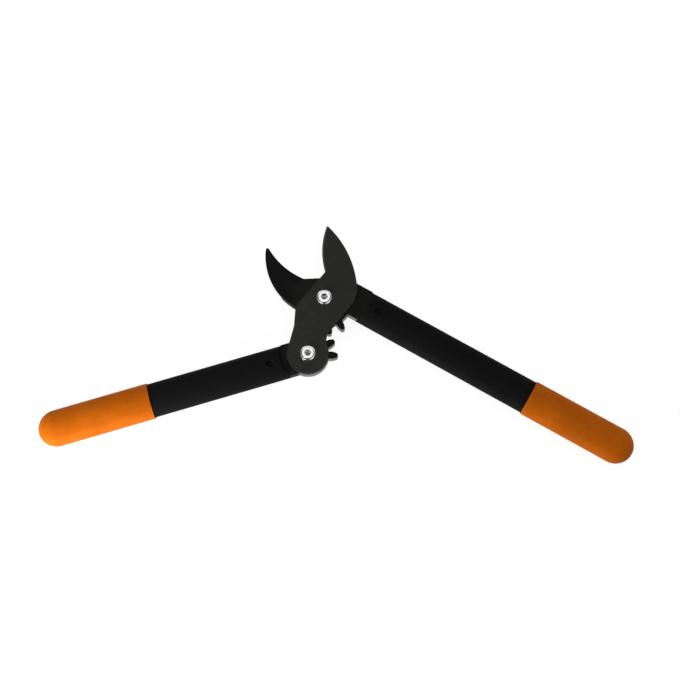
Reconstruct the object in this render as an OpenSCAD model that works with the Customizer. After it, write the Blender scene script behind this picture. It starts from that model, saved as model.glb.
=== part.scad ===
// Geared bypass lopper, lying open on its back: +X right, +Y towards the jaws, +Z up.
// The origin is on the blade pivot's axis, on the plane that the tool lies on.
// Each arm is drawn in its own frame, with its pivot at the origin and its handle along +X.

/* [Gears] */
// Module of the two gear sectors
gear_module = 4; // [3.6:0.1:4.4]
// Teeth that a full turn of the hook's gear would have
hook_teeth = 16; // [15:1:17]
// Teeth that a full turn of the drive gear would have
drive_teeth = 12; // [11:1:13]
// Pressure angle of the teeth, in degrees
pressure_angle = 22; // [20:0.5:25]
// Height of a hook tooth above its pitch circle
hook_addendum = 3.3; // [3:0.1:3.9]
// Height of a drive tooth above its pitch circle
drive_addendum = 3.8; // [3:0.1:4]
// Thickness of a drive tooth on its pitch circle
drive_tooth_t = 6.5; // [6:0.1:7]
// Play between the flanks, along the pitch circle
backlash = 0.6; // [0.3:0.05:0.8]
// Room between a tip and the root that it runs over
tip_room = 1.2; // [0.5:0.1:1.4]
// Height of the rounding on each tooth's tip
tip_round = 1.6; // [0.8:0.1:1.8]
// Extra half width of a tooth where it meets the root circle
root_flare = 0.5; // [0.3:0.1:0.8]
// Teeth on each sector
sector_teeth = 4; // [4:1:5]
// Thickness of both gear bodies
gear_t = 9.5; // [8:0.5:11]

/* [Pose] */
// How far the hook arm stands open from the shut position, in degrees
opening = 50.5; // [0:0.5:50.5]
// Direction from the blade pivot to the gear pivot, in degrees
link_angle = -105.5; // [-120:0.5:-90]
// Angle from that direction to the hook's handle when shut
hook_shut_angle = 25.05; // [24.5:0.05:28]
// Angle from that direction to the drive handle when shut
drive_shut_angle = 9.5; // [4:0.5:14]
// Turn of the hook's last tooth from the line of the pivots when shut
mesh_phase = -4.1; // [-6:0.1:-2]

/* [Blade] */
// Thickness of the blade plate
blade_t = 3; // [2.5:0.1:4]
// Distance from the blade pivot to the blade's tip
tip_reach = 72.1; // [66:0.1:75]
// Lean of the tip from the line of the pivots, in degrees
tip_lean = 13.8; // [11:0.1:16]
// Distance from the blade pivot to the heel of the cutting edge
heel_reach = 25.3; // [23:0.1:28]
// Lean of the heel from the line of the pivots, in degrees
heel_lean = 13.6; // [12:0.1:17]
// Radius of the convex cutting edge
edge_r = 75; // [70:1:90]
// Radius of the convex back of the blade
spine_r = 95; // [80:1:115]
// Height of the back's lower end above the blade pivot
spine_foot = 14; // [12:0.5:18]
// Width of the ground bevel along the cutting edge
bevel_w = 1.6; // [1:0.1:4]
// Thickness left at the cutting edge
edge_t = 0.3; // [0.2:0.1:0.6]
// Distance of the plate's shoulder from the line of the pivots
shoulder_reach = 28.2; // [26:0.1:31]
// Height of the shoulder's corner above the blade pivot
shoulder_rise = 4; // [2:0.5:6]
// Radius of the shoulder's corner
shoulder_r = 9; // [6:0.5:10]
// Slope of the edge below the shoulder, in degrees from the line of the pivots
shoulder_slope = 23; // [20:0.5:26]
// Distance of the throat's corner from the line of the pivots
throat_reach = 23.4; // [21:0.1:25]
// Distance of the throat's corner below the blade pivot
throat_drop = 16; // [14:0.1:19]
// Radius of the throat's corner
throat_r = 7; // [4:0.5:10]
// Distance of the waist's corner, below the throat's, from the line of the pivots
waist_reach = 19.6; // [18:0.1:20]
// Distance of the waist's corner below the blade pivot
waist_drop = 34; // [31:0.5:37]
// Radius of the hollow waist on the side of the teeth
waist_r = 14.5; // [11:0.5:16]
// Radius of the round end over the gear pivot
boss_r = 19.3; // [17:0.1:19.4]

/* [Hook] */
// Distance from the blade pivot to the hook's tip
hook_reach = 74.3; // [70:0.1:78]
// Radius of the hook's convex back
hook_back_r = 60; // [55:1:70]
// Width of the hook's round tip
hook_tip_w = 3.4; // [2:0.1:4]
// Direction from the handle to the lower end of the hook's back, in degrees
hook_foot_angle = -129; // [-134:1:-124]
// Distance of the hook's heel outside the gear's root circle
hook_heel_rise = 0.3; // [0.2:0.1:2]
// Slope of the straight edge from the heel to the handle, in degrees
throat_slope = 32.5; // [29:0.5:36]
// Slope of the step across the hook at the heel, in degrees
step_slope = 67; // [55:1:75]
// Thickness of the hook
hook_t = 5.5; // [4:0.1:6.5]
// How far the blade's edge passes the hook's edge when shut
jaw_overlap = 2.2; // [1.4:0.1:3]
// Depth of the step from the pivot land down to the hook's face
land_step = 0.3; // [0.2:0.05:0.6]

/* [Pivots] */
// Diameter of the pivot bolts
bolt_d = 8; // [6:0.5:10]
// Diameter of a bolt's flange
bolt_flange_d = 14.2; // [13:0.1:17]
// Thickness of a bolt's flange at its rim
bolt_rim_t = 0.8; // [0.4:0.1:1]
// Thickness of a bolt's flange where it meets the head
bolt_flange_t = 1.3; // [1.1:0.1:2]
// Diameter of a bolt's domed head
bolt_head_d = 10.8; // [9:0.1:12]
// Height of a bolt's head above the blade
bolt_head_h = 2.8; // [2.6:0.1:5]
// Height of the dome on a bolt's head
bolt_dome_h = 0.4; // [0.2:0.1:0.8]
// Size of the hexagon recess across its flats
recess_flats = 5.8; // [4:0.1:6]
// Depth of the hexagon recess
recess_depth = 2.2; // [1.5:0.1:2.6]
// Outer diameter of the pivot bushes
bush_d = 13; // [12:0.5:16]
// Outer diameter of the rear washers
washer_d = 22; // [18:0.5:26]
// Thickness of the rear washers
washer_t = 2; // [1:0.1:3]
// Outer diameter of the friction washers
friction_d = 24; // [20:0.5:28]
// Thickness of the friction washers
friction_t = 0.6; // [0.4:0.1:1]
// Width of the lock nuts across their flats
nut_flats = 13; // [12.5:0.5:17]
// Height of the lock nuts
nut_h = 6.5; // [5:0.1:8]
// Diameter of the lock nuts' round collar
nut_collar_d = 12; // [11.6:0.1:12.4]
// Height of the lock nuts' round collar
nut_collar_h = 1.9; // [1.2:0.1:2.4]
// Outer diameter of the nylon rings
ring_d = 10; // [9.5:0.1:11]
// Thickness of the nylon rings
ring_t = 1.3; // [0.8:0.1:1.6]

/* [Handles] */
// Width of the handles
handle_w = 31.8; // [29:0.1:34]
// Thickness of the handles
handle_t = 22; // [20:0.5:26]
// Radius of the handles' rounded sides
handle_side_r = 9.8; // [8.5:0.1:9.9]
// Wall of the hollow handles
handle_wall = 3.2; // [2:0.1:4]
// Distance of the hook handle's axis from the blade pivot
hook_handle_offset = 12.7; // [12:0.1:14]
// Distance of the drive handle's axis from the gear pivot
drive_handle_offset = -0.2; // [-2:0.1:0]
// Distance from the blade pivot to the hook handle's nose, along its axis
hook_nose = 40; // [38:0.5:44]
// Distance from the gear pivot to the drive handle's nose, along its axis
drive_nose = 25.5; // [24:0.5:29]
// Depth of the hollow across a nose, from its corners to its axis
nose_hollow = 4; // [2:0.5:6]
// Length over which a nose rounds up to the full thickness
nose_rise = 13; // [10:0.5:16]
// Solid length of a nose, ahead of the hollow
nose_solid = 18; // [16:0.5:24]
// Height of a nose's corners above and below the gear body
nose_lip = 0.5; // [0.2:0.1:2]
// How far a nose's rounding aims past the handle's crown
nose_crest = 0.2; // [0.1:0.1:0.5]
// How far a gear body's neck stands in from its handle's sides
neck_inset = 0.6; // [0.4:0.1:1.5]

/* [Tangs] */
// Width of the tangs inside the handles
tang_w = 17; // [14:0.5:20]
// Thickness of the tangs
tang_t = 6; // [5:0.5:7]
// Length of the tangs past the noses
tang_len = 34; // [28:1:45]
// Diameter of the cross pins
pin_d = 5; // [4:0.5:5.5]
// Distance of a cross pin behind its handle's nose
pin_set = 10.6; // [10:0.1:12]
// Diameter of the recess around a pin's end
pin_recess_d = 6.4; // [6:0.1:7]
// Depth of the recess around a pin's end
pin_recess = 1.6; // [1:0.1:2.5]

/* [Grips] */
// Wall of the grip sleeves around the handles
grip_wall = 1; // [1:0.05:2]
// Length of a grip
grip_len = 105; // [90:1:120]
// Distance from the blade pivot to the end of the hook handle's grip
hook_grip_end = 314.3; // [290:0.1:340]
// Distance from the gear pivot to the end of the drive handle's grip
drive_grip_end = 254.7; // [235:0.1:280]
// Distance from the start of a grip's round end back to the handle inside it
grip_seat = 2; // [1:0.5:6]

/* [Clearances] */
// Running gap around a pivot bush, on the radius
bush_gap = 0.04; // [0.02:0.01:0.08]
// Gap around a bolt's shank, on the radius
shank_gap = 0.1; // [0.05:0.05:0.2]
// Running gap between flat faces that turn on each other
face_gap = 0.1; // [0.05:0.05:0.2]
// Gap between fitted pieces that don't move
fit_gap = 0.05; // [0.05:0.05:0.15]

/* [Hidden] */
$fn = 96;

// Overshoot of a cut past the face that it opens
cut = 1;
// Larger than any outline, for cutting planes
far = 200;
// How far joined outlines run into each other
lap = 2;
// How far a rounding arc bites into the edges that it runs into
arc_bite = 0.03;

// Gear radii, the distance between the pivots and the ratio of the arms' turns
hook_pitch_r = gear_module * hook_teeth / 2;
drive_pitch_r = gear_module * drive_teeth / 2;
pivot_distance = hook_pitch_r + drive_pitch_r;
hook_crest_r = hook_pitch_r + hook_addendum;
drive_crest_r = drive_pitch_r + drive_addendum;
hook_root_r = hook_pitch_r - drive_addendum - tip_room;
drive_root_r = drive_pitch_r - hook_addendum - tip_room;
hook_tooth_t = PI * gear_module - drive_tooth_t - backlash;
ratio = hook_teeth / drive_teeth;

// Directions of the two handles in the modelled pose
hook_angle = link_angle + hook_shut_angle + opening;
drive_angle = link_angle + drive_shut_angle - opening * ratio;

// Directions of the sectors' first teeth, in their arm's frame
hook_first_tooth = mesh_phase - hook_shut_angle;
drive_first_tooth = 180 - drive_shut_angle - mesh_phase * ratio - 180 / drive_teeth;

// Levels from the plane that the tool lies on
washer_z = nut_h;
bush_z = washer_z + washer_t;
gear_z = bush_z + face_gap;
gear_top = gear_z + gear_t;
gear_mid = gear_z + gear_t / 2;
blade_z = gear_top + face_gap;
blade_top = blade_z + blade_t;
hook_z = gear_top - land_step - hook_t;
handle_mid = handle_t / 2 + grip_wall;
friction_z = blade_z - face_gap / 2 - friction_t;

// Centres of the four arcs of the handles' oval section
oval_side_c = handle_w / 2 - handle_side_r;
oval_crown_r = (oval_side_c ^ 2 + handle_t ^ 2 / 4 - handle_side_r ^ 2) / (handle_t - 2 * handle_side_r);
oval_crown_c = oval_crown_r - handle_t / 2;

// Radius of the hollow across a nose
nose_hollow_r = (handle_w ^ 2 / 4 + nose_hollow ^ 2) / (2 * nose_hollow);

// Radius of a grip's half-round end, seen from above
grip_end_r = handle_w / 2 + grip_wall;

// Blade outline, in a frame with the gear pivot straight below the blade pivot
boss_c = [0, -pivot_distance];
blade_tip = polar(tip_reach, 90 + tip_lean);
blade_heel = polar(heel_reach, 90 + heel_lean);
edge_c = meeting(blade_tip, edge_r, blade_heel, edge_r);
spine_end = [shoulder_reach, spine_foot];
spine_c = meeting(spine_end, spine_r, blade_tip, spine_r);
throat_corner = [-throat_reach, -throat_drop];
waist_corner = [-waist_reach, -waist_drop];
boss_side = tangent_point(waist_corner, boss_c, boss_r - arc_bite);
throat_c = corner_centre(blade_heel, throat_corner, waist_corner, throat_r);
shoulder_corner = [shoulder_reach, shoulder_rise];
shoulder_run = -[sin(shoulder_slope), cos(shoulder_slope)];
shoulder_c = corner_centre(spine_end, shoulder_corner, shoulder_corner + shoulder_run, shoulder_r);
waist_c = hollow_centre(shoulder_corner, shoulder_run, waist_r, boss_c, boss_r);

// Hook outline, in the hook arm's frame: its edge shares the centre of the blade's edge when shut
hook_edge_c = turned(edge_c, 90 - hook_shut_angle);
hook_edge_r = edge_r - jaw_overlap;
hook_heel = meeting([0, 0], hook_root_r + hook_heel_rise, hook_edge_c, hook_edge_r);
hook_foot = polar(hook_root_r, hook_foot_angle);
hook_tip_r = hook_tip_w / 2;
hook_tip_c = meeting([0, 0], hook_reach - hook_tip_r, hook_edge_c, hook_edge_r + hook_tip_r);
hook_back_c = meeting(hook_tip_c, hook_back_r - hook_tip_r, hook_foot, hook_back_r);

// Necks of the gear bodies, which the handles' noses butt against
neck_half_w = handle_w / 2 - neck_inset;
hook_neck_top = hook_handle_offset + neck_half_w;
throat_end = [hook_heel.x + (hook_neck_top - hook_heel.y) / tan(throat_slope), hook_neck_top];

// Straight steps along a tooth's flank, around its tip and around a handle's nose
flank_steps = 7;
tip_steps = 6;
nose_steps = 6;

// Finishes
black_coat = "#2b2c29";
black_steel = "#1b1b19";
black_plastic = "#181818";
zinc = "#c9ccd0";
bare_steel = "#9a9488";
nylon = "#e4e2da";
orange_rubber = "#e0861f";

function polar(r, a) = r * [cos(a), sin(a)];

function turned(p, a) = [p.x * cos(a) - p.y * sin(a), p.x * sin(a) + p.y * cos(a)];

// Point where the circles about p and q meet, on the left of the way from p to q
function meeting(p, p_r, q, q_r) =
  let (
    u = (q - p) / norm(q - p),
    along = (p_r ^ 2 - q_r ^ 2 + norm(q - p) ^ 2) / (2 * norm(q - p))
  )
  p + u * along + [-u.y, u.x] * sqrt(p_r ^ 2 - along ^ 2);

// Point where the line from p touches a circle on the circle's left, seen from p
function tangent_point(p, c, r) =
  let (d = p - c)
  c + polar(r, atan2(d.y, d.x) + acos(r / norm(d)));

// Centre of the arc that rounds the corner p between a and b
function corner_centre(a, p, b, r) =
  let (u = (a - p) / norm(a - p), v = (b - p) / norm(b - p))
  p + (u + v) / norm(u + v) * r / sin(acos(u * v) / 2);

// Centre of the hollow arc that touches a line, from p along the unit vector u, and a circle below it
function hollow_centre(p, u, r, c, circle_r) =
  let (w = p + r * [-u.y, u.x] - c)
  p + r * [-u.y, u.x] - u * (w * u + sqrt((w * u) ^ 2 - w * w + (circle_r + r) ^ 2));

// Point of the line through a and b that is nearest to p
function foot_on(p, a, b) =
  let (u = (b - a) / norm(b - a))
  a + u * ((p - a) * u);

// Rounding of a nose from the handle's crown to the level z at its corners, and on past its front
function nose_round(corner, z, up) =
  let (
    crest = handle_mid + up * (handle_t / 2 + nose_crest),
    drop = abs(crest - z),
    round_r = (nose_rise ^ 2 + drop ^ 2) / (2 * drop),
    sweep = asin(nose_rise / round_r)
  )
  concat(
    [for (i = [0 : nose_steps])
      let (a = sweep * i / nose_steps)
      [corner + nose_rise - round_r * sin(a), crest - up * round_r * (1 - cos(a))]],
    [[corner - 2 * cut, z]]
  );

// Involute function and the half angle of a tooth at radius r, in degrees
function involute(a) = tan(a) * 180 / PI - a;
function half_angle(r, pitch_r, tooth_t) =
  let (base_r = pitch_r * cos(pressure_angle))
  tooth_t / pitch_r * 90 / PI + involute(pressure_angle) - involute(r > base_r ? acos(base_r / r) : 0);

// One side of a tooth as [radius, half angle] from the root to the tip
function tooth_side(pitch_r, tooth_t, root_r, tip_r) =
  let (
    base_r = max(pitch_r * cos(pressure_angle), root_r + root_flare),
    flank_r = tip_r - tip_round,
    flank_a = half_angle(flank_r, pitch_r, tooth_t),
    foot_a = half_angle(base_r, pitch_r, tooth_t)
  )
  concat(
    [[root_r - cut, foot_a], [root_r - arc_bite, foot_a + root_flare / root_r * 180 / PI]],
    [for (i = [0 : flank_steps])
      let (r = base_r + (flank_r - base_r) * i / flank_steps) [r, half_angle(r, pitch_r, tooth_t)]],
    [for (i = [1 : tip_steps])
      let (a = 90 * i / tip_steps) [flank_r + tip_round * sin(a), flank_a * cos(a)]]
  );

module at_blade() {
  rotate(link_angle + 90) children();
}

module at_gear_pivot() {
  translate(polar(pivot_distance, link_angle)) children();
}

module at_hook() {
  rotate(hook_angle) children();
}

module at_drive() {
  at_gear_pivot() rotate(drive_angle) children();
}

// Gear teeth as fingers that reach down into the gear body
module gear_teeth(pitch_r, tooth_t, root_r, tip_r, first, step) {
  side = tooth_side(pitch_r, tooth_t, root_r, tip_r);
  last = len(side) - 1;
  outline = concat(
    [for (p = side) polar(p[0], p[1])],
    [for (i = [last - 1 : -1 : 0]) polar(side[i][0], -side[i][1])]
  );
  for (i = [0 : sector_teeth - 1])
    rotate(first + i * step) polygon(outline);
}

// Oval of the handles' section, grown all round by extra
module oval(extra) {
  side_r = handle_side_r + extra;
  crown_r = oval_crown_r + extra;
  tangent_x = oval_side_c * crown_r / (oval_crown_r - handle_side_r);
  intersection() {
    translate([0, -oval_crown_c]) circle(crown_r, $fn = 180);
    translate([0, oval_crown_c]) circle(crown_r, $fn = 180);
    square([2 * tangent_x, handle_t + 4 * grip_wall], center = true);
  }
  for (x = [-1, 1])
    translate([x * (oval_side_c - arc_bite), 0]) circle(side_r + arc_bite);
}

// Oval bar along +X
module oval_bar(from, to, extra) {
  translate([from, 0, 0]) rotate([90, 0, 90]) linear_extrude(to - from) oval(extra);
}

// Blade

module blade_plate() {
  intersection() {
    translate(spine_c) circle(spine_r, $fn = 240);
    translate(edge_c) circle(edge_r, $fn = 240);
    translate([-far / 2, spine_foot - lap]) square([far / 2 + shoulder_reach, far]);
  }
  difference() {
    polygon([
      blade_heel + (blade_heel - throat_corner) / norm(blade_heel - throat_corner) * lap,
      foot_on(throat_c, blade_heel, throat_corner),
      foot_on(throat_c, throat_corner, waist_corner),
      waist_corner,
      boss_side,
      boss_c,
      waist_c,
      foot_on(waist_c, shoulder_corner, shoulder_corner + shoulder_run),
      foot_on(shoulder_c, shoulder_corner, shoulder_corner + shoulder_run),
      foot_on(shoulder_c, shoulder_corner, spine_end),
      spine_end - [0, lap]
    ]);
    translate(waist_c) circle(waist_r + arc_bite);
  }
  translate(throat_c) circle(throat_r + arc_bite);
  translate(shoulder_c) circle(shoulder_r + arc_bite);
  translate(boss_c) circle(boss_r);
}

// Wedge removed along the cutting edge, turned about the edge's own centre
module edge_bevel() {
  slope = (blade_t - edge_t) / bevel_w;
  overrun = 3;
  start = atan2(blade_tip.y - edge_c.y, blade_tip.x - edge_c.x);
  sweep = 2 * asin(norm(blade_tip - blade_heel) / (2 * edge_r));
  translate([edge_c.x, edge_c.y, 0])
    rotate(start - overrun)
      rotate_extrude(angle = sweep + overrun, $fn = 240)
        polygon([
          [edge_r + bevel_w, edge_t - slope * bevel_w],
          [edge_r + bevel_w, blade_t + cut],
          [edge_r - bevel_w - cut / slope, blade_t + cut]
        ]);
}

module cutting_blade() {
  color(black_coat)
    at_blade() translate([0, 0, blade_z])
      difference() {
        linear_extrude(blade_t) blade_plate();
        edge_bevel();
        for (y = [0, -pivot_distance])
          translate([0, y, -cut]) cylinder(d = bolt_d + 2 * shank_gap, h = blade_t + 2 * cut);
      }
}

// Pivots

module pivot_bolt() {
  dome_r = (bolt_head_d ^ 2 / 4 + bolt_dome_h ^ 2) / (2 * bolt_dome_h);
  flange_slope = 2 * (bolt_flange_t - bolt_rim_t) / (bolt_flange_d - bolt_head_d);
  cone_h = bolt_rim_t + flange_slope * bolt_flange_d / 2;
  difference() {
    union() {
      cylinder(d = bolt_d, h = blade_top + bolt_flange_t);
      translate([0, 0, blade_top])
        intersection() {
          cylinder(d = bolt_flange_d, h = bolt_head_h);
          cylinder(r1 = cone_h / flange_slope, r2 = 0, h = cone_h);
        }
      translate([0, 0, blade_top])
        intersection() {
          cylinder(d = bolt_head_d, h = bolt_head_h);
          translate([0, 0, bolt_head_h - dome_r]) sphere(dome_r);
        }
    }
    translate([0, 0, blade_top + bolt_head_h - recess_depth])
      cylinder(d = recess_flats / cos(30), h = recess_depth + cut, $fn = 6);
  }
}

module pivot_bush() {
  translate([0, 0, bush_z])
    difference() {
      cylinder(d = bush_d, h = blade_z - bush_z);
      translate([0, 0, -cut]) cylinder(d = bolt_d + 2 * shank_gap, h = blade_z - bush_z + 2 * cut);
    }
}

module pivot_washer() {
  translate([0, 0, washer_z])
    difference() {
      cylinder(d = washer_d, h = washer_t);
      translate([0, 0, -cut]) cylinder(d = bolt_d + 2 * shank_gap, h = washer_t + 2 * cut);
    }
}

// Hexagon with a round collar at its rear end, which holds the nylon ring
module pivot_nut() {
  hex_h = nut_h - nut_collar_h;
  difference() {
    union() {
      translate([0, 0, nut_collar_h])
        intersection() {
          cylinder(d = nut_flats / cos(30), h = hex_h, $fn = 6);
          cylinder(d1 = nut_flats, d2 = nut_flats + 2 * hex_h, h = hex_h);
        }
      cylinder(d = nut_collar_d, h = nut_collar_h + cut);
    }
    translate([0, 0, -cut]) cylinder(d = bolt_d + 2 * fit_gap, h = nut_h + 2 * cut);
    translate([0, 0, -cut]) cylinder(d = ring_d + 2 * fit_gap, h = ring_t + fit_gap + cut);
  }
}

module nut_ring() {
  difference() {
    cylinder(d = ring_d, h = ring_t);
    translate([0, 0, -cut]) cylinder(d = bolt_d + 2 * fit_gap, h = ring_t + 2 * cut);
  }
}

module friction_washer() {
  translate([0, 0, friction_z])
    difference() {
      cylinder(d = friction_d, h = friction_t);
      translate([0, 0, -cut]) cylinder(d = bush_d + 2 * shank_gap, h = friction_t + 2 * cut);
    }
}

// Bush hole and friction washer's seat, cut into a gear body
module gear_bore() {
  translate([0, 0, gear_z - cut]) cylinder(d = bush_d + 2 * bush_gap, h = gear_t + 2 * cut);
  translate([0, 0, friction_z]) cylinder(d = friction_d + 2 * fit_gap, h = friction_t + cut);
}

module blade_pivot_bolt() { color(zinc) pivot_bolt(); }
module gear_pivot_bolt() { color(zinc) at_gear_pivot() pivot_bolt(); }
module blade_pivot_bush() { color(bare_steel) pivot_bush(); }
module gear_pivot_bush() { color(bare_steel) at_gear_pivot() pivot_bush(); }
module blade_pivot_washer() { color(zinc) pivot_washer(); }
module gear_pivot_washer() { color(zinc) at_gear_pivot() pivot_washer(); }
module blade_pivot_nut() { color(zinc) pivot_nut(); }
module gear_pivot_nut() { color(zinc) at_gear_pivot() pivot_nut(); }
module blade_nut_ring() { color(nylon) nut_ring(); }
module gear_nut_ring() { color(nylon) at_gear_pivot() nut_ring(); }
module hook_friction_washer() { color(nylon) friction_washer(); }
module gear_friction_washer() { color(nylon) at_gear_pivot() friction_washer(); }

// Arms

// Neck with a round end that fits the hollow of a handle's nose
module neck(from, nose, offset) {
  intersection() {
    translate([from, offset - neck_half_w]) square([nose - from, 2 * neck_half_w]);
    translate([nose - nose_hollow_r, offset]) circle(nose_hollow_r - fit_gap, $fn = 180);
  }
}

// Tang that runs from inside the neck into the handle
module tang(nose, offset) {
  translate([nose - nose_hollow, offset - tang_w / 2, gear_mid - tang_t / 2])
    cube([tang_len + nose_hollow, tang_w, tang_t]);
}

module tang_pin_hole(nose, offset) {
  translate([nose + pin_set, offset, gear_z - cut]) cylinder(d = pin_d + 2 * fit_gap, h = gear_t + 2 * cut);
}

// Space above the straight edge from the heel to the handle
module throat_space() {
  polygon([hook_heel, hook_heel + polar(far, throat_slope), hook_heel + [0, far]]);
}

// Space past the points where the hook's edge and back run into its round tip
module tip_space() {
  inner = hook_tip_c + (hook_edge_c - hook_tip_c) / norm(hook_edge_c - hook_tip_c) * hook_tip_r;
  outer = hook_tip_c + (hook_tip_c - hook_back_c) / norm(hook_tip_c - hook_back_c) * hook_tip_r;
  across = atan2(outer.y - inner.y, outer.x - inner.x);
  translate(inner) rotate(across) translate([-far / 2, -far]) square(far);
}

// Crescent of the hook, run on under the hub
module hook_outline() {
  difference() {
    translate(hook_back_c) circle(hook_back_r, $fn = 240);
    intersection() {
      translate(hook_edge_c) circle(hook_edge_r, $fn = 240);
      translate([hook_heel.x - far, -far]) square([far, 2 * far]);
    }
    throat_space();
    tip_space();
  }
  translate(hook_tip_c) circle(hook_tip_r + arc_bite);
}

// Half plane on the pivot's side of the step across the hook, moved along the hook by overlap
module land_side(overlap) {
  translate(hook_heel) rotate(step_slope) translate([-far, -far - overlap]) square([2 * far, far]);
}

module hook_body() {
  intersection() {
    hook_outline();
    land_side(0);
    translate([-far, -far]) square([far, 2 * far]);
  }
  difference() {
    union() {
      circle(hook_root_r);
      polygon([[0, 0], hook_heel, throat_end, [throat_end.x, 0]]);
      neck(0, hook_nose, hook_handle_offset);
    }
    throat_space();
  }
  gear_teeth(hook_pitch_r, hook_tooth_t, hook_root_r, hook_crest_r, hook_first_tooth, -360 / hook_teeth);
}

module hook_jaw() {
  color(black_steel)
    at_hook()
      difference() {
        union() {
          translate([0, 0, hook_z])
            linear_extrude(hook_t)
              difference() {
                hook_outline();
                land_side(cut);
              }
          translate([0, 0, gear_z]) linear_extrude(gear_t) hook_body();
          tang(hook_nose, hook_handle_offset);
        }
        gear_bore();
        tang_pin_hole(hook_nose, hook_handle_offset);
      }
}

module drive_body() {
  circle(drive_root_r);
  neck(0, drive_nose, drive_handle_offset);
  gear_teeth(drive_pitch_r, drive_tooth_t, drive_root_r, drive_crest_r, drive_first_tooth,
    360 / drive_teeth);
}

module drive_gear() {
  color(black_steel)
    at_drive()
      difference() {
        union() {
          translate([0, 0, gear_z]) linear_extrude(gear_t) drive_body();
          tang(drive_nose, drive_handle_offset);
        }
        gear_bore();
        tang_pin_hole(drive_nose, drive_handle_offset);
      }
}

// Side of a handle, with its nose rounded above and below
module handle_profile(corner, stop) {
  top = nose_round(corner, gear_top + nose_lip, 1);
  bottom = nose_round(corner, gear_z - nose_lip, -1);
  last = len(top) - 1;
  polygon(concat(
    [[stop + cut, top[0].y]],
    top,
    [for (i = [last : -1 : 0]) bottom[i]],
    [[stop + cut, bottom[0].y]]
  ));
}

// Hollow handle with a solid nose, rounded down to the gear body and hollowed across its front
module handle(nose, offset, grip_end) {
  corner = nose - nose_hollow;
  stop = grip_end - grip_end_r - grip_seat - fit_gap;
  tang_gap = 2 * fit_gap;
  difference() {
    intersection() {
      translate([0, offset, handle_mid]) oval_bar(corner - cut, stop, 0);
      translate([0, offset + handle_w, 0]) rotate([90, 0, 0])
        linear_extrude(2 * handle_w) handle_profile(corner, stop);
    }
    translate([nose - nose_hollow_r, offset, -cut])
      cylinder(r = nose_hollow_r, h = handle_t + 2 * grip_wall + 2 * cut, $fn = 180);
    translate([0, offset, handle_mid]) oval_bar(nose + nose_solid, stop + cut, -handle_wall);
    translate([corner, offset - tang_w / 2 - fit_gap, gear_mid - tang_t / 2 - fit_gap])
      cube([tang_len + nose_hollow + fit_gap, tang_w + tang_gap, tang_t + tang_gap]);
    translate([nose + pin_set, offset, 0]) {
      translate([0, 0, -cut]) cylinder(d = pin_d + 2 * fit_gap, h = handle_t + 2 * grip_wall + 2 * cut);
      for (z = [handle_mid - handle_t / 2 - cut, handle_mid + handle_t / 2 - pin_recess])
        translate([0, 0, z]) cylinder(d = pin_recess_d, h = pin_recess + cut);
    }
  }
}

module tang_pin(nose, offset) {
  translate([nose + pin_set, offset, handle_mid - handle_t / 2 + pin_recess])
    cylinder(d = pin_d, h = handle_t - 2 * pin_recess);
}

// Sleeve with a half-round closed end, a revolve of its own section
module grip(offset, grip_end) {
  end_c = grip_end - grip_end_r;
  translate([0, offset, handle_mid])
    difference() {
      union() {
        oval_bar(grip_end - grip_len, end_c, grip_wall);
        translate([end_c, 0, 0]) rotate([0, 0, -90])
          rotate_extrude(angle = 180)
            intersection() {
              oval(grip_wall);
              translate([0, -far / 2]) square(far);
            }
      }
      oval_bar(grip_end - grip_len - cut, end_c - grip_seat, fit_gap);
    }
}

module right_handle() {
  color(black_plastic) at_hook() handle(hook_nose, hook_handle_offset, hook_grip_end);
}

module left_handle() {
  color(black_plastic) at_drive() handle(drive_nose, drive_handle_offset, drive_grip_end);
}

module right_tang_pin() {
  color(black_steel) at_hook() tang_pin(hook_nose, hook_handle_offset);
}

module left_tang_pin() {
  color(black_steel) at_drive() tang_pin(drive_nose, drive_handle_offset);
}

module right_grip() {
  color(orange_rubber) at_hook() grip(hook_handle_offset, hook_grip_end);
}

module left_grip() {
  color(orange_rubber) at_drive() grip(drive_handle_offset, drive_grip_end);
}

cutting_blade();
blade_pivot_bolt();
gear_pivot_bolt();
blade_pivot_bush();
gear_pivot_bush();
blade_pivot_washer();
gear_pivot_washer();
blade_pivot_nut();
gear_pivot_nut();
blade_nut_ring();
gear_nut_ring();
hook_jaw();
hook_friction_washer();
right_handle();
right_tang_pin();
right_grip();
drive_gear();
gear_friction_washer();
left_handle();
left_tang_pin();
left_grip();
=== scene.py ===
import math

import bpy
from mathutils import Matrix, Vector


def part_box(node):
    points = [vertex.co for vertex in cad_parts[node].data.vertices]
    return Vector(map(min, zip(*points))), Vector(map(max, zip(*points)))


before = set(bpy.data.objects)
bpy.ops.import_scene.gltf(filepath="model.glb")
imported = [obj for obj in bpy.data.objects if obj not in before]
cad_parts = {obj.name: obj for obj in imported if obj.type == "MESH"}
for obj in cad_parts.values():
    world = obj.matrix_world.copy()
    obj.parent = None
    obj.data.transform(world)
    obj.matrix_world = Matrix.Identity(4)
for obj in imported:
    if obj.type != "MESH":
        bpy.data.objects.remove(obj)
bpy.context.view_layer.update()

MM = 0.001


# ---- Shader maths --------------------------------------------------------------------------------

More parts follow.
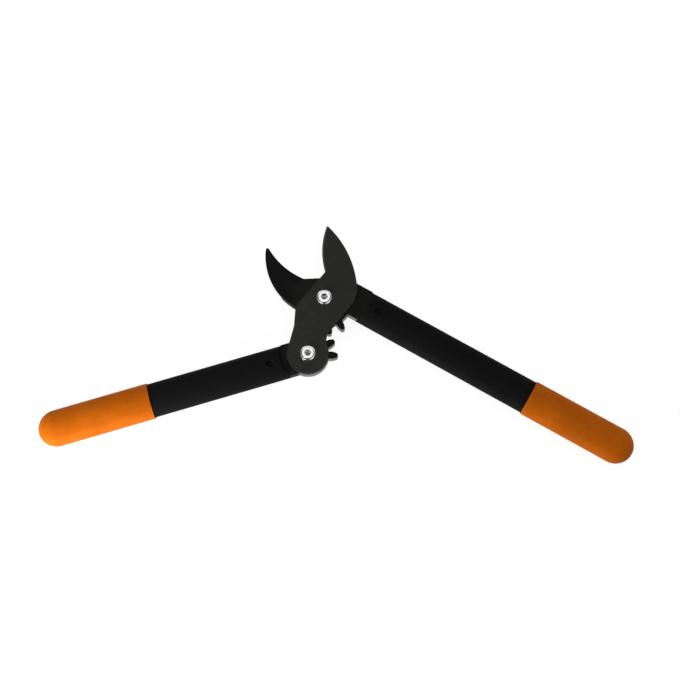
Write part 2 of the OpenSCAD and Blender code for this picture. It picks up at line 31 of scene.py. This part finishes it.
class Wire:
    """One output of a shader tree. Arithmetic on it adds Math nodes."""

    def __init__(self, finish, socket):
        self.finish, self.socket = finish, socket

    def math(self, operation, *values):
        return self.finish.make("ShaderNodeMath", {"operation": operation}, dict(enumerate(values)))

    def __add__(self, other):
        return self.math("ADD", self, other)

    __radd__ = __add__

    def __sub__(self, other):
        return self.math("SUBTRACT", self, other)

    def __rsub__(self, other):
        return self.math("SUBTRACT", other, self)

    def __mul__(self, other):
        return self.math("MULTIPLY", self, other)

    __rmul__ = __mul__

    def __abs__(self):
        return self.math("ABSOLUTE", self)

    def __or__(self, other):
        """The larger of two masks."""
        return self.math("MAXIMUM", self, other)

    def sine(self):
        return self.math("SINE", self)

    def ramp(self, start, end):
        """Eases from 0 at start to 1 at end, whichever of the two is larger."""
        return self.finish.make("ShaderNodeMapRange", {"interpolation_type": "SMOOTHSTEP"},
                                {"Value": self, "From Min": start, "From Max": end})

    def spread(self):
        """Eases the middle of a noise, where most of its values lie, out to 0 and 1."""
        return self.ramp(0.3, 0.7)


# Sockets of a Mix node that mixes colours
MIX_AMOUNT, MIX_LOW, MIX_HIGH, MIX_RESULT = 0, 6, 7, 2


class Finish:
    """The shader tree of one material, or of the world."""

    def __init__(self, owner):
        owner.use_nodes = True
        self.tree = owner.node_tree
        self.tree.nodes.clear()

    def make(self, kind, settings=None, sockets=None, output=0):
        """Adds one node: its settings first, then the values or links of its sockets."""
        node = self.tree.nodes.new(kind)
        for name, value in (settings or {}).items():
            setattr(node, name, value)
        for name, value in (sockets or {}).items():
            if isinstance(value, Wire):
                self.tree.links.new(value.socket, node.inputs[name])
            else:
                node.inputs[name].default_value = value
        return Wire(self, node.outputs[output] if len(node.outputs) else None)

    def place(self):
        """Where a point lies on its piece, in metres of the rest frame."""
        return self.make("ShaderNodeTexCoord", output="Object")

    def normal(self):
        """The way a face looks, bumps left out."""
        return self.make("ShaderNodeNewGeometry", output="Normal")

    def stretch(self, place, scale, turn=0.0, centre=(0, 0, 0)):
        """The place turned about Z at a centre, in degrees, and scaled along its own axes."""
        moved = self.make("ShaderNodeVectorMath", {"operation": "SUBTRACT"}, {0: place, 1: centre})
        turned = self.make("ShaderNodeMapping", {"vector_type": "POINT"},
                           {"Vector": moved, "Rotation": (0, 0, math.radians(turn))})
        return self.make("ShaderNodeVectorMath", {"operation": "MULTIPLY"}, {0: turned, 1: scale})

    def noise(self, place, size, detail, rough=0.5):
        """Cloudy value from 0 to 1 with cells of a size in metres."""
        return self.make("ShaderNodeTexNoise", {"noise_dimensions": "3D"},
                         {"Vector": place, "Scale": 1 / size, "Detail": detail, "Roughness": rough})

    def grain(self, place, size):
        """0 at the centre of each moulded grain and 1 between grains, a size in metres apart."""
        return self.make("ShaderNodeTexVoronoi", {"feature": "F1"},
                         {"Vector": place, "Scale": 1 / size}).ramp(0.1, 0.7)

    def along(self, vector, axis):
        """One component of a place or normal, by its axis X, Y or Z."""
        return self.make("ShaderNodeSeparateXYZ", {}, {0: vector}, output=axis)

    def radius(self, place, centre):
        """Distance from the upright axis through a centre."""
        level_place = self.stretch(place, scale=(1, 1, 0), centre=centre)
        return self.make("ShaderNodeVectorMath", {"operation": "LENGTH"}, {0: level_place},
                         output="Value")

    def wall(self):
        """1 on upright walls, 0 on level faces."""
        return abs(self.along(self.normal(), "Z")).ramp(0.7, 0.3)

    def edges(self, radius):
        """1 on edges and corners, 0 on open faces."""
        softened = self.make("ShaderNodeBevel", {"samples": 8}, {"Radius": radius})
        likeness = self.make("ShaderNodeVectorMath", {"operation": "DOT_PRODUCT"},
                             {0: softened, 1: self.normal()}, output="Value")
        return (1 - likeness).ramp(0.01, 0.12)

    def blend(self, amount, low, high):
        """The colour low where amount is 0 and high where it is 1."""
        return self.make("ShaderNodeMix", {"data_type": "RGBA"},
                         {MIX_AMOUNT: amount, MIX_LOW: colour(low), MIX_HIGH: colour(high)},
                         output=MIX_RESULT)

    def relief(self, height, depth):
        """A normal with bumps of a depth in metres."""
        return self.make("ShaderNodeBump", {},
                         {"Height": height, "Strength": 1.0, "Distance": depth})

    def surface(self, **sockets):
        """The Principled shader on the tree's output, its sockets named in lower case."""
        names = {name.replace("_", " ").title().replace("Ior", "IOR"): value
                 for name, value in sockets.items()}
        shader = self.make("ShaderNodeBsdfPrincipled", {}, names)
        self.make("ShaderNodeOutputMaterial", {}, {"Surface": shader})


def colour(value):
    """A colour as a socket takes it: a link, or red, green and blue with alpha."""
    return value if isinstance(value, Wire) else (*value, 1.0)


def finish_named(name):
    """A new material and the tree to fill for it."""
    material = bpy.data.materials.new(name)
    return material, Finish(material)


# ---- Finishes ------------------------------------------------------------------------------------

# Colours in linear light
COAT_DARK, COAT_PALE = (0.0130, 0.0134, 0.0110), (0.0315, 0.0323, 0.0270)
COAT_SCUFF = (0.055, 0.055, 0.052)
COAT_WORN = (0.20, 0.20, 0.19)
OXIDE_DARK, OXIDE_PALE = (0.0024, 0.0024, 0.0022), (0.0072, 0.0072, 0.0064)
OXIDE_POLISHED = (0.0098, 0.0102, 0.0074)
OXIDE_RUBBED = (0.14, 0.14, 0.135)
STEEL_MACHINED = (0.16, 0.16, 0.154)
STEEL_TURNED = (0.42, 0.41, 0.39)
STEEL_BLACKED = (0.006, 0.006, 0.006)
ZINC_DULL, ZINC_BRIGHT = (0.88, 0.89, 0.90), (0.96, 0.97, 0.97)
# Painted shade: a dark colour laid in the bolts' recesses and round the foot of their heads
PAINTED_SHADE_COLOUR = (0.06, 0.065, 0.06)
NYLON_DULL, NYLON_PALE = (0.52, 0.50, 0.43), (0.64, 0.62, 0.55)
PLASTIC_DARK, PLASTIC_PALE = (0.0028, 0.0028, 0.0029), (0.0066, 0.0065, 0.0064)
PLASTIC_RUBBED = (0.018, 0.018, 0.0175)
ORANGE_DEEP, ORANGE_PALE = (0.54, 0.110, 0.0012), (0.64, 0.144, 0.0020)
ORANGE_DUSTY = (0.48, 0.092, 0.002)
ORANGE_SHEEN = (1.0, 0.66, 0.2)

# Where the hook and the drive gear change their finish, from none of it to all of it
BLADE_LAND_R = (34 * MM, 26 * MM)      # polished round the blade pivot
GEAR_LAND_R = (27 * MM, 22 * MM)       # polished round the gear pivot
NECK_X = (24 * MM, 34 * MM)            # less polished along the neck to the right handle
NECK_POLISH = 0.45
MACHINED_X = (-25 * MM, -21 * MM)      # walls machined from here on, left as forged on the hook
LAND_BELOW_TOP = (0.2 * MM, 0.1 * MM)

# Where a bolt's recess and the foot of its head are darkened as painted shade, as radii and as
# depths below the top of its head
RECESS_R, RECESS_DEPTH = (3.5 * MM, 3.3 * MM), (0.1 * MM, 0.9 * MM)
FOOT_INNER_R, FOOT_OUTER_R = (5.2 * MM, 5.4 * MM), (6.18 * MM, 5.9 * MM)
FOOT_DEPTH = (0.5 * MM, 0.9 * MM)
SHADE_END_DEPTH = (3.4 * MM, 2.8 * MM)
ZINC_RING_PITCH = 0.22 * MM


def blade_coating():
    """Dark satin coat on ground steel: fine grind lines, a few scuffs, bare steel on worn edges."""
    material, finish = finish_named("blade_coating")
    place = finish.place()
    cloud = finish.noise(place, size=18 * MM, detail=3).spread()
    peel = finish.noise(place, size=0.5 * MM, detail=2).spread()
    ground = finish.stretch(place, scale=(1, 14, 1), turn=20)
    lines = finish.noise(ground, size=6 * MM, detail=3, rough=0.65).spread()
    scraped = finish.stretch(place, scale=(1, 22, 1), turn=-38)
    scuffs = finish.noise(scraped, size=14 * MM, detail=2).ramp(0.62, 0.72)
    chips = finish.noise(place, size=2.4 * MM, detail=3).ramp(0.40, 0.60)
    worn = finish.edges(0.35 * MM) * chips
    coat = finish.blend(cloud * 0.3 + lines * 0.45 + peel * 0.25, COAT_DARK, COAT_PALE)
    scuffed = finish.blend(scuffs * 0.35, coat, COAT_SCUFF)
    finish.surface(
        base_color=finish.blend(worn, scuffed, COAT_WORN),
        metallic=worn * 0.8,
        roughness=0.40 + 0.10 * cloud + 0.12 * lines - 0.1 * worn,
        specular_ior_level=0.15,
        normal=finish.relief(peel * 0.4 + lines * 0.6, depth=0.03 * MM))
    return material


def forged_black(top, blade_centre, gear_centre):
    """Black oxide on forged steel: dull scaled faces, smoother machined walls, rubbed edges, and
    lands round the pivots that the blade polishes."""
    material, finish = finish_named("forged_black")
    place = finish.place()
    across, level = finish.along(place, "X"), finish.along(place, "Z")
    cloud = finish.noise(place, size=11 * MM, detail=4).spread()
    scale = finish.noise(place, size=0.9 * MM, detail=3, rough=0.65).spread()
    chips = finish.noise(place, size=2.0 * MM, detail=3).ramp(0.46, 0.66)
    rubbed = finish.edges(0.4 * MM) * chips
    wall = finish.wall() * across.ramp(*MACHINED_X)
    near = (finish.radius(place, blade_centre).ramp(*BLADE_LAND_R)
            | finish.radius(place, gear_centre).ramp(*GEAR_LAND_R)
            | NECK_POLISH * across.ramp(*NECK_X))
    land = level.ramp(*(top - below for below in LAND_BELOW_TOP)) * near
    oxide = finish.blend(cloud * 0.5 + scale * 0.5, OXIDE_DARK, OXIDE_PALE)
    swept = finish.blend(land * (0.6 + 0.4 * cloud), oxide, OXIDE_POLISHED)
    machined = finish.blend(wall * (0.8 + 0.2 * scale), swept, STEEL_MACHINED)
    finish.surface(
        base_color=finish.blend(rubbed, machined, OXIDE_RUBBED),
        metallic=(wall * 0.75) | (rubbed * 0.7),
        roughness=0.52 + 0.18 * scale - 0.2 * wall - 0.08 * land - 0.1 * rubbed,
        specular_ior_level=0.10,
        normal=finish.relief(scale, depth=0.06 * MM))
    return material


def bright_zinc(name, centre, head_top):
    """Bright zinc plate, slightly clouded, with fine turning rings about a pivot, and painted shade
    in the recess and as a painted shadow ring round the foot of the head."""
    material, finish = finish_named(name)
    place = finish.place()
    cloud = finish.noise(place, size=3.5 * MM, detail=3)
    radius = finish.radius(place, centre)
    depth = head_top - finish.along(place, "Z")
    rings = (radius * (2 * math.pi / ZINC_RING_PITCH) + cloud * 5).sine()
    pits = finish.noise(place, size=0.3 * MM, detail=2)
    blotch = finish.noise(place, size=1.4 * MM, detail=2).ramp(0.40, 0.58)
    # Painted shade: the recess and a ring round the foot of the head are darkened and made less
    # metallic to stand in for their shade, with blotches that let bright zinc through in the recess
    recess_shade = radius.ramp(*RECESS_R) * depth.ramp(*RECESS_DEPTH) * (0.5 + 0.5 * blotch)
    foot_shadow = radius.ramp(*FOOT_INNER_R) * radius.ramp(*FOOT_OUTER_R) * depth.ramp(*FOOT_DEPTH)
    painted_shade = (recess_shade | foot_shadow) * depth.ramp(*SHADE_END_DEPTH)
    zinc = finish.blend(cloud, ZINC_DULL, ZINC_BRIGHT)
    finish.surface(
        base_color=finish.blend(painted_shade, zinc, PAINTED_SHADE_COLOUR),
        metallic=1 - 0.4 * painted_shade,
        roughness=0.05 + 0.07 * cloud + 0.02 * rings + 0.15 * painted_shade,
        normal=finish.relief(rings * 0.2 + pits, depth=0.006 * MM))
    return material


def turned_steel(name, centre, tone):
    """Plain turned steel, with the tool's rings."""
    material, finish = finish_named(name)
    place = finish.place()
    cloud = finish.noise(place, size=2.5 * MM, detail=3)
    turned = finish.stretch(place, scale=(0.2, 0.2, 8), centre=centre)
    rings = finish.noise(turned, size=1.2 * MM, detail=2)
    darker = [0.7 * part for part in tone]
    finish.surface(
        base_color=finish.blend(cloud * 0.5 + rings * 0.5, darker, tone),
        metallic=1.0,
        roughness=0.28 + 0.16 * rings,
        normal=finish.relief(rings, depth=0.008 * MM))
    return material


def natural_nylon():
    """Milky nylon, a little uneven, with a soft moulded skin."""
    material, finish = finish_named("natural_nylon")
    place = finish.place()
    cloud = finish.noise(place, size=4 * MM, detail=3)
    skin = finish.noise(place, size=0.4 * MM, detail=2)
    finish.surface(
        base_color=finish.blend(cloud, NYLON_DULL, NYLON_PALE),
        roughness=0.42 + 0.12 * skin,
        subsurface_weight=0.2,
        subsurface_scale=0.6 * MM,
        normal=finish.relief(skin, depth=0.02 * MM))
    return material


def handle_plastic():
    """Black filled plastic with a fine spark grain, paler where its edges are rubbed."""
    material, finish = finish_named("handle_plastic")
    place = finish.place()
    cloud = finish.noise(place, size=24 * MM, detail=3).spread()
    grain = finish.grain(place, size=0.7 * MM)
    fibre = finish.noise(place, size=2.2 * MM, detail=3).spread()
    black = finish.blend(cloud * 0.3 + fibre * 0.3 + grain * 0.4, PLASTIC_DARK, PLASTIC_PALE)
    rubbed = finish.edges(0.6 * MM) * fibre.ramp(0.4, 0.7)
    finish.surface(
        base_color=finish.blend(rubbed, black, PLASTIC_RUBBED),
        roughness=0.62 + 0.1 * cloud + 0.14 * grain,
        specular_ior_level=0.10,
        normal=finish.relief(grain * 0.7 + fibre * 0.3, depth=0.09 * MM))
    return material


def grip_rubber():
    """Soft orange rubber with a fine matt grain and a little ground-in dust."""
    material, finish = finish_named("grip_rubber")
    place = finish.place()
    cloud = finish.noise(place, size=30 * MM, detail=3).spread()
    smudge = finish.noise(place, size=6 * MM, detail=4, rough=0.6).ramp(0.5, 0.75)
    grain = finish.grain(place, size=0.9 * MM)
    orange = finish.blend(cloud * 0.75 + grain * 0.25, ORANGE_DEEP, ORANGE_PALE)
    finish.surface(
        base_color=finish.blend(smudge * 0.4, orange, ORANGE_DUSTY),
        roughness=0.46 + 0.14 * grain + 0.08 * smudge,
        specular_ior_level=0.06,
        sheen_weight=0.14,
        sheen_roughness=0.35,
        sheen_tint=colour(ORANGE_SHEEN),
        normal=finish.relief(grain, depth=0.12 * MM))
    return material


# ---- Dressing the CAD pieces ---------------------------------------------------------------------

WELD_GAP = 0.001 * MM
SHARP_FROM = math.radians(32)
LARGE_FACE_WEIGHT = 60


def dress(names, material, soft=None, segments=3):
    """Gives pieces their finish, and softens their edges by a width in metres, if one is given."""
    for name in names:
        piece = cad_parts[name]
        for slot in piece.material_slots:
            slot.link = "OBJECT"
            slot.material = material
        weld = piece.modifiers.new("weld", "WELD")
        weld.merge_threshold = WELD_GAP
        if soft:
            round_off = piece.modifiers.new("soft_edges", "BEVEL")
            round_off.width = soft
            round_off.segments = segments
            round_off.limit_method = "ANGLE"
            round_off.angle_limit = SHARP_FROM
            round_off.use_clamp_overlap = False
            round_off.miter_outer = "MITER_ARC"
        even = piece.modifiers.new("even_shading", "WEIGHTED_NORMAL")
        even.keep_sharp = False
        even.weight = LARGE_FACE_WEIGHT


def pivot_axis(bolt):
    """Point on a bolt's axis, on the plane that the tool lies on."""
    low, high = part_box(bolt)
    return ((low[0] + high[0]) / 2, (low[1] + high[1]) / 2, 0.0)


pivots = {end: pivot_axis(end + "_pivot_bolt") for end in ("blade", "gear")}
bolt_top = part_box("blade_pivot_bolt")[1][2]
hook_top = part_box("hook_jaw")[1][2]

dress(["cutting_blade"], blade_coating(), soft=0.12 * MM)
dress(["hook_jaw", "drive_gear"], forged_black(hook_top, pivots["blade"], pivots["gear"]),
      soft=0.2 * MM)
dress(["right_handle", "left_handle"], handle_plastic())
dress(["right_grip", "left_grip"], grip_rubber(), soft=0.5 * MM)
dress(["hook_friction_washer", "gear_friction_washer", "blade_nut_ring", "gear_nut_ring"],
      natural_nylon(), soft=0.1 * MM, segments=2)
dress(["right_tang_pin", "left_tang_pin"],
      turned_steel("dark_pin_steel", (0, 0, 0), STEEL_BLACKED), soft=0.15 * MM, segments=2)
for end, centre in pivots.items():
    dress([end + "_pivot_bolt", end + "_pivot_washer", end + "_pivot_nut"],
          bright_zinc(end + "_pivot_zinc", centre, bolt_top), soft=0.08 * MM)
    dress([end + "_pivot_bush"], turned_steel(end + "_bush_steel", centre, STEEL_TURNED),
          soft=0.1 * MM, segments=2)


# ---- Studio --------------------------------------------------------------------------------------

FLOOR_HALF = 8.0                       # metres
FLOOR_GAP = 0.2 * MM                   # keeps the sheet off the tool's lowest faces
FLOOR_WHITE = (0.86, 0.86, 0.86)       # the light that it throws back on the tool
FLOOR_SHADED = (0.2, 0.2, 0.2)         # the part of what the camera sees that takes the shadow
FLOOR_GLOW = 0.91                      # the rest of it

# Levels of the studio's light, and places by the height and the parts of a unit direction
WALL_LEVEL, SWEEP_LEVEL, BOX_LEVEL = 0.06, 0.76, 0.94
SWEEP_RISE, OVERHEAD_RISE = (0.46, 0.16), (0.3, 0.4)
BOX_AHEAD, BOX_SIDES, BOX_ENDS = 0.24, (0.58, 0.40), (0.58, 0.52)
STAND_AT, STAND_R, STAND_DARKNESS = (0, -0.29, 0), (0.15, 0.11), 0.94

KEY_AT, KEY_TARGET = Vector((-0.36, -0.46, 0.15)), Vector((-0.17, -0.11, 0.01))
KEY_SIZE, KEY_WATTS = 0.26, 2.9

VIEW_TARGET = Vector((14.68, -40.36, 17.78)) * MM
VIEW_REACH, VIEW_RISE = 927 * MM, math.radians(75)
LENS_MM, SENSOR_MM = 52.94, 36


def add_to_scene(thing):
    bpy.context.scene.collection.objects.link(thing)


def aim(thing, target):
    """Turns a lamp or camera to a target."""
    thing.rotation_euler = (target - thing.location).to_track_quat("-Z", "Y").to_euler()


def white_floor():
    """A white sheet under the tool that reads as plain white and keeps its shadow."""
    half = FLOOR_HALF
    mesh = bpy.data.meshes.new("floor")
    mesh.from_pydata([(-half, -half, 0), (half, -half, 0), (half, half, 0), (-half, half, 0)], [],
                     [(0, 1, 2, 3)])
    floor = bpy.data.objects.new("floor", mesh)
    floor.location.z = -FLOOR_GAP
    add_to_scene(floor)
    material, finish = finish_named("white_floor")
    lit = finish.make("ShaderNodeBsdfDiffuse", {}, {"Color": colour(FLOOR_WHITE)})
    shaded = finish.make("ShaderNodeBsdfDiffuse", {}, {"Color": colour(FLOOR_SHADED)})
    glow = finish.make("ShaderNodeEmission", {},
                       {"Color": colour((1, 1, 1)), "Strength": FLOOR_GLOW})
    both = finish.make("ShaderNodeAddShader", {}, {0: shaded, 1: glow})
    seen = (finish.make("ShaderNodeLightPath", output="Is Camera Ray")
            | finish.make("ShaderNodeLightPath", output="Is Glossy Ray")
            | finish.make("ShaderNodeLightPath", output="Is Transmission Ray"))
    shown = finish.make("ShaderNodeMixShader", {}, {0: seen, 1: lit, 2: both})
    finish.make("ShaderNodeOutputMaterial", {}, {"Surface": shown})
    mesh.materials.append(material)


def studio_world():
    """A pale sweep round the horizon, a long soft box overhead, dim walls and the dark camera."""
    world = bpy.data.worlds.new("studio")
    bpy.context.scene.world = world
    finish = Finish(world)
    heading = finish.make("ShaderNodeTexCoord", output="Generated")
    aside, ahead, rise = (finish.along(heading, axis) for axis in "XYZ")
    sweep, overhead = rise.ramp(*SWEEP_RISE), rise.ramp(*OVERHEAD_RISE)
    box = abs(aside).ramp(*BOX_SIDES) * abs(ahead - BOX_AHEAD).ramp(*BOX_ENDS) * overhead
    stand = finish.radius(heading, STAND_AT).ramp(*STAND_R) * overhead
    level = ((WALL_LEVEL + SWEEP_LEVEL * sweep + BOX_LEVEL * box)
             * (1 - STAND_DARKNESS * stand))
    shown = finish.make("ShaderNodeBackground", {}, {"Color": level})
    finish.make("ShaderNodeOutputWorld", {}, {"Surface": shown})


def key_lamp():
    """One soft round lamp, low on the near left."""
    lamp = bpy.data.lights.new("key_lamp", "AREA")
    lamp.shape, lamp.size, lamp.energy = "DISK", KEY_SIZE, KEY_WATTS
    holder = bpy.data.objects.new("key_lamp", lamp)
    holder.location = KEY_AT
    aim(holder, KEY_TARGET)
    add_to_scene(holder)


def photo_camera():
    """The photograph's view: from the near side, 75 degrees up."""
    camera = bpy.data.objects.new("camera", bpy.data.cameras.new("camera"))
    camera.location = VIEW_TARGET + VIEW_REACH * Vector((0, -math.cos(VIEW_RISE),
                                                         math.sin(VIEW_RISE)))
    aim(camera, VIEW_TARGET)
    camera.data.lens, camera.data.sensor_width = LENS_MM, SENSOR_MM
    camera.data.clip_start, camera.data.clip_end = 0.01, 60
    add_to_scene(camera)
    bpy.context.scene.camera = camera


photo_camera()
white_floor()
studio_world()
key_lamp()
bpy.context.scene.view_settings.view_transform = "Standard"
